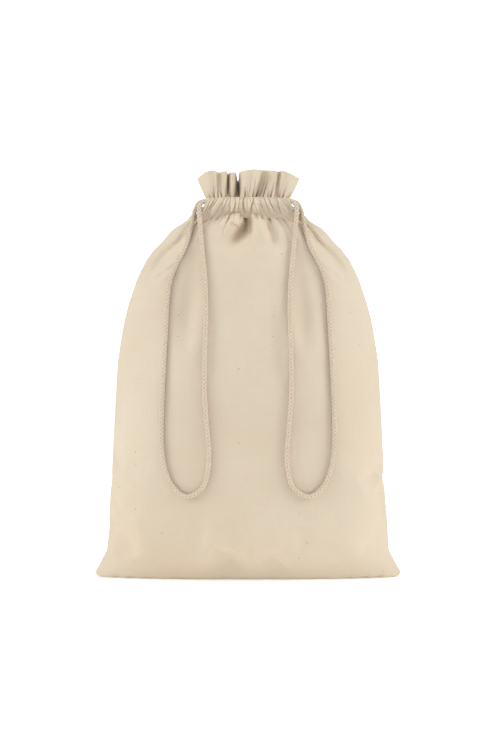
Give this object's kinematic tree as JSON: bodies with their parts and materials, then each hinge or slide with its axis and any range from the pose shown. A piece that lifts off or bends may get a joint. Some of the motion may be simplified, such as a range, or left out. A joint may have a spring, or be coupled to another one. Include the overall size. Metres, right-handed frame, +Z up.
{
  "type": "drawstring treat pouch",
  "caption": "Soft cotton drawstring pouch standing filled, with a gathered neck, a frilled hem and a closed pull cord looping from each side.",
  "frame": {"origin": "on the floor, under the middle of the pouch's bottom", "axes": "+Z up, towards the neck; -Y is the front, where the cord loops hang; +X is to the right seen from the front"},
  "size_m": [0.3, 0.1166, 0.4005],
  "materials": {
    "cotton": "unbleached plain weave with small seed flecks, matt",
    "cord_cotton": "twisted cotton cord, matt",
    "thread": "cotton sewing thread, matt"
  },
  "bodies": {
    "pouch": {"front_panel": "cotton", "back_panel": "cotton", "front_casing": "cotton", "back_casing": "cotton", "left_cord_return": "cord_cotton", "left_cord_join": "thread", "left_cord_tail": "cord_cotton", "right_cord_return": "cord_cotton", "right_cord_join": "thread", "right_cord_tail": "cord_cotton", "left_side_seam": "thread", "right_side_seam": "thread", "bottom_seam": "thread", "front_upper_stitching": "thread", "front_lower_stitching": "thread", "back_upper_stitching": "thread", "back_lower_stitching": "thread"},
    "front_frill": {"front_ruffle": "cotton"},
    "back_frill": {"back_ruffle": "cotton"},
    "left_legs": {"left_cord_front_leg": "cord_cotton", "left_cord_back_leg": "cord_cotton"},
    "left_loop": {"left_cord_loop": "cord_cotton"},
    "right_legs": {"right_cord_front_leg": "cord_cotton", "right_cord_back_leg": "cord_cotton"},
    "right_loop": {"right_cord_loop": "cord_cotton"}
  },
  "joints": [
    {"name": "left_cord_pull", "type": "slide", "parent": "pouch", "child": "left_legs", "axis": [-1, 0, 0], "range_m": [0, 0.02]},
    {"name": "left_loop_swing", "type": "hinge", "parent": "left_legs", "child": "left_loop", "pos_m": [-0.0522, -0.0095, 0.3615], "axis": [0, 1, 0], "range_deg": [0, 90]},
    {"name": "right_cord_pull", "type": "slide", "parent": "pouch", "child": "right_legs", "axis": [1, 0, 0], "range_m": [0, 0.02]},
    {"name": "right_loop_swing", "type": "hinge", "parent": "right_legs", "child": "right_loop", "pos_m": [0.0522, -0.0095, 0.3615], "axis": [0, -1, 0], "range_deg": [0, 90]},
    {"name": "front_frill_fold", "type": "hinge", "parent": "pouch", "child": "front_frill", "pos_m": [0, -0.0165, 0.3757], "axis": [1, 0, 0], "range_deg": [0, 40], "stiffness_Nm_per_rad": 0.004, "springref_deg": -5.73},
    {"name": "back_frill_fold", "type": "hinge", "parent": "pouch", "child": "back_frill", "pos_m": [0, 0.0165, 0.3757], "axis": [-1, 0, 0], "range_deg": [0, 40], "stiffness_Nm_per_rad": 0.004, "springref_deg": -5.73}
  ]
}
